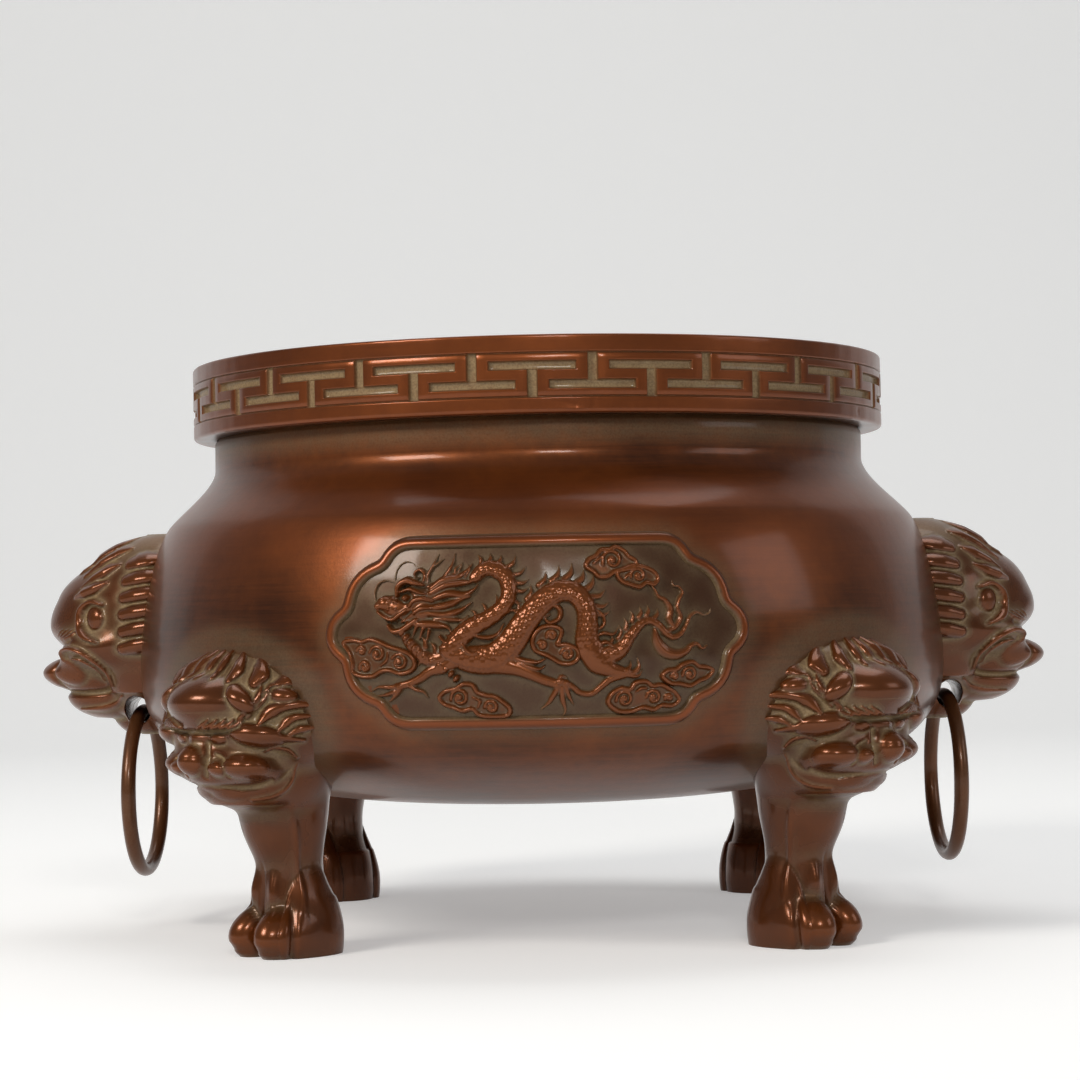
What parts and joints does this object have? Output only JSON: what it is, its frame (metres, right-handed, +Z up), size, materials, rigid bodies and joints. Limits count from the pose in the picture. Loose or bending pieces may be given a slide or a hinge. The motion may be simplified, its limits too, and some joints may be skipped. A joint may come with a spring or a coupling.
{
  "type": "incense burner",
  "caption": "Footed incense burner: round bowl with meander collar, dragon relief panels, lion-mask legs and lion-head side lugs that carry swinging rings.",
  "frame": {"origin": "on the table under the middle of the bowl, at the bottom centre of the bounding box", "axes": "+Z up; the main dragon panel faces -Y; the lugs and rings stand on the X axis; the legs stand on the diagonals"},
  "size_m": [0.2018, 0.1668, 0.1128],
  "materials": {
    "body_bronze": "waxed chestnut-brown patina on cast bronze, semi-gloss",
    "band_bronze": "waxed reddish-brown patina with olive-grey fret recesses",
    "panel_ground": "matt olive-grey patinated ground of the panel",
    "relief_bronze": "reddish-brown relief, olive-grey in the hollows",
    "mask_bronze": "reddish-brown cast relief, waxed, olive-grey in the hollows",
    "ring_bronze": "dark brown patinated wire, semi-gloss",
    "rivet_bronze": "dull brown bronze rivet"
  },
  "bodies": {
    "vessel": {"bowl": "body_bronze", "rim_band": "band_bronze", "front_panel_ground": "panel_ground", "front_panel_moulding": "body_bronze", "front_dragon": "relief_bronze", "front_cloud_upper": "relief_bronze", "front_cloud_left": "relief_bronze", "front_cloud_lower": "relief_bronze", "front_cloud_middle": "relief_bronze", "front_cloud_lower_right": "relief_bronze", "front_cloud_right": "relief_bronze", "back_panel_ground": "panel_ground", "back_panel_moulding": "body_bronze", "back_dragon": "relief_bronze", "back_cloud_upper": "relief_bronze", "back_cloud_left": "relief_bronze", "back_cloud_lower": "relief_bronze", "back_cloud_middle": "relief_bronze", "back_cloud_lower_right": "relief_bronze", "back_cloud_right": "relief_bronze", "lion_leg_front_right": "mask_bronze", "leg_rivet_front_right": "rivet_bronze", "lion_leg_front_left": "mask_bronze", "leg_rivet_front_left": "rivet_bronze", "lion_leg_back_right": "mask_bronze", "leg_rivet_back_right": "rivet_bronze", "lion_leg_back_left": "mask_bronze", "leg_rivet_back_left": "rivet_bronze", "lion_lug_right": "mask_bronze", "lug_rivet_right": "rivet_bronze", "lion_lug_left": "mask_bronze", "lug_rivet_left": "rivet_bronze"},
    "ring_right": {"ring_right": "ring_bronze"},
    "ring_left": {"ring_left": "ring_bronze"}
  },
  "joints": [
    {"name": "ring_right_swing", "type": "hinge", "parent": "vessel", "child": "ring_right", "pos_m": [0.0819, 0, 0.044], "axis": [0, -1, 0], "range_deg": [-36, 108]},
    {"name": "ring_left_swing", "type": "hinge", "parent": "vessel", "child": "ring_left", "pos_m": [-0.0819, 0, 0.044], "axis": [0, 1, 0], "range_deg": [-36, 108]}
  ]
}
